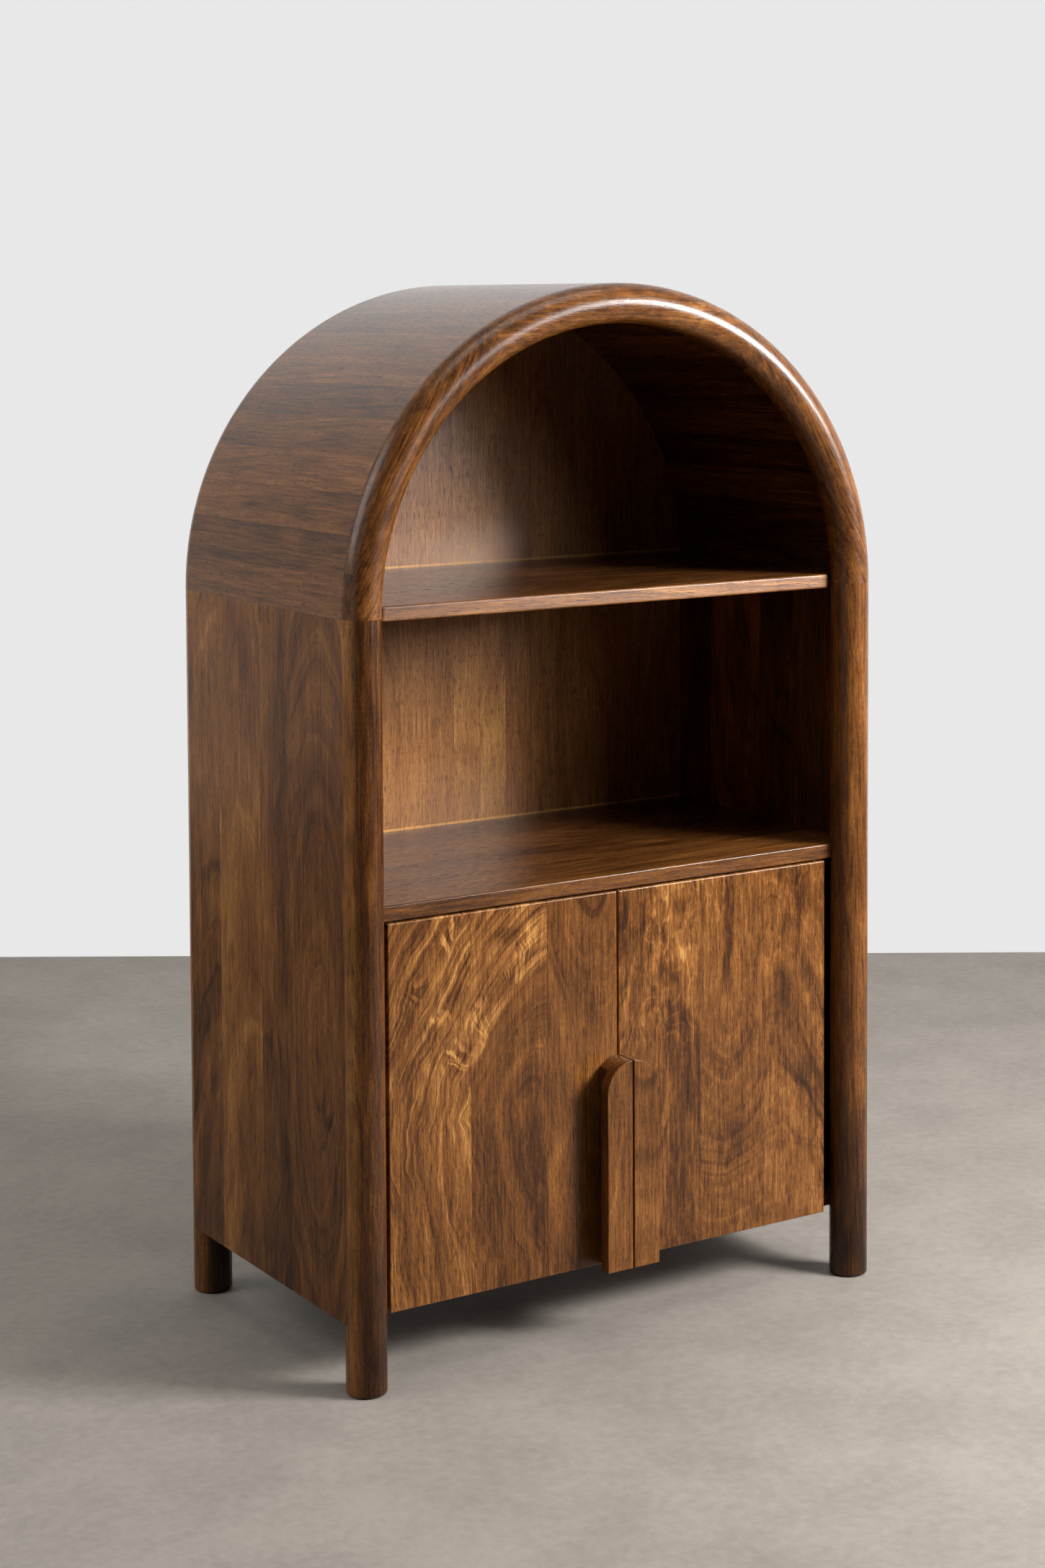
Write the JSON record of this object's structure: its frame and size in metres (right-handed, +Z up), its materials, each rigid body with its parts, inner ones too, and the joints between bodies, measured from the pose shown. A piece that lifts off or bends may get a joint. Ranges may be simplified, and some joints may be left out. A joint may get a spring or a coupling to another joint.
{
  "type": "arched shelf",
  "caption": "Free-standing arched wooden shelf: round posts run into a round arch rail, open bays under a barrel vault, a cupboard below with half-arch pulls.",
  "frame": {"origin": "on the floor under the middle of the overall box", "axes": "+Z up, the doors face -Y, +X to the viewer's right when facing the doors"},
  "size_m": [0.8, 0.478, 1.344],
  "materials": {
    "post": "satin lacquer",
    "rail": "satin lacquer",
    "side": "satin lacquer",
    "vault": "satin lacquer",
    "back": "satin lacquer",
    "shelf": "satin lacquer",
    "door": "satin lacquer",
    "pull": "satin lacquer",
    "floor": "satin lacquer",
    "dowel": "unfinished",
    "steel": "zinc plated",
    "brass": "turned",
    "catch": "moulded"
  },
  "bodies": {
    "carcass": {"arch_dowels": "dowel", "back_boards": "back", "bottom_pivot_pins": "steel", "bracket_screws": "steel", "catch_screws": "steel", "cupboard_floor": "floor", "front_arch_crown": "rail", "front_arch_left": "rail", "front_arch_right": "rail", "front_left_post": "post", "front_right_post": "post", "left_side_boards": "side", "lower_shelf": "shelf", "magnetic_catch": "catch", "pivot_brackets": "steel", "rear_arch_crown": "rail", "rear_arch_left": "rail", "rear_arch_right": "rail", "rear_left_post": "post", "rear_right_post": "post", "right_side_boards": "side", "thrust_washers": "brass", "top_pivot_pins": "steel", "upper_shelf": "shelf", "vault_staves": "vault"},
    "left_door": {"left_door_boards": "door", "left_door_bushes": "brass", "left_pull": "pull", "left_pull_screws": "steel", "left_strike_plate": "steel", "left_strike_screw": "steel"},
    "right_door": {"right_door_boards": "door", "right_door_bushes": "brass", "right_pull": "pull", "right_pull_screws": "steel", "right_strike_plate": "steel", "right_strike_screw": "steel"}
  },
  "joints": [
    {"name": "left_door_pivot", "type": "hinge", "parent": "carcass", "child": "left_door", "pos_m": [-0.3275, -0.1925, 0.328], "axis": [0, 0, -1], "range_deg": [0, 105]},
    {"name": "right_door_pivot", "type": "hinge", "parent": "carcass", "child": "right_door", "pos_m": [0.3275, -0.1925, 0.328], "axis": [0, 0, 1], "range_deg": [0, 105]}
  ]
}
